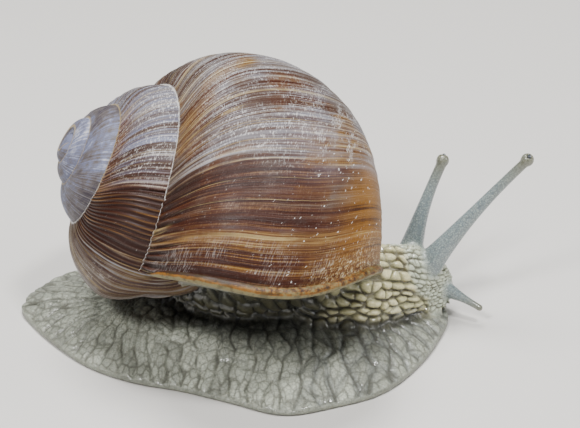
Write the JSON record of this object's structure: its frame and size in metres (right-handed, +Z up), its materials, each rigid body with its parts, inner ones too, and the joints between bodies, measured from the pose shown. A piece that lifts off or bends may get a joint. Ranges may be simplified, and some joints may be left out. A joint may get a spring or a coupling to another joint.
{
  "type": "roman snail museum model",
  "caption": "Life-size still model of a crawling Roman snail: coiled right-handed shell over a long spread foot, neck raised, feelers out.",
  "frame": {"origin": "middle of the bounding box's underside, on the floor under the sole", "axes": "+X is the way the snail crawls, the box's longest side; +Z up; the snail's right side, with the shell's mouth, faces -Y"},
  "size_m": [0.0624, 0.0404, 0.0355],
  "materials": {
    "shell": "satin, worn, striped red-brown, cream and grey-purple along the growth lines",
    "lip": "satin cream to amber",
    "flesh": "moist grey-beige skin, granular",
    "mantle": "moist cream-olive",
    "feelers": "moist blue-grey, finely granular",
    "eye": "gloss black"
  },
  "bodies": {
    "root": {"shell": "shell", "shell_lip": "lip", "mantle_collar": "mantle", "foot_tail": "flesh", "foot_middle": "flesh", "foot_front": "flesh", "trunk": "flesh", "neck": "flesh", "head": "flesh", "upper_feeler_right": "feelers", "upper_feeler_left": "feelers", "lower_feeler_right": "feelers", "lower_feeler_left": "feelers", "eye_right": "eye", "eye_left": "eye"}
  },
  "joints": []
}
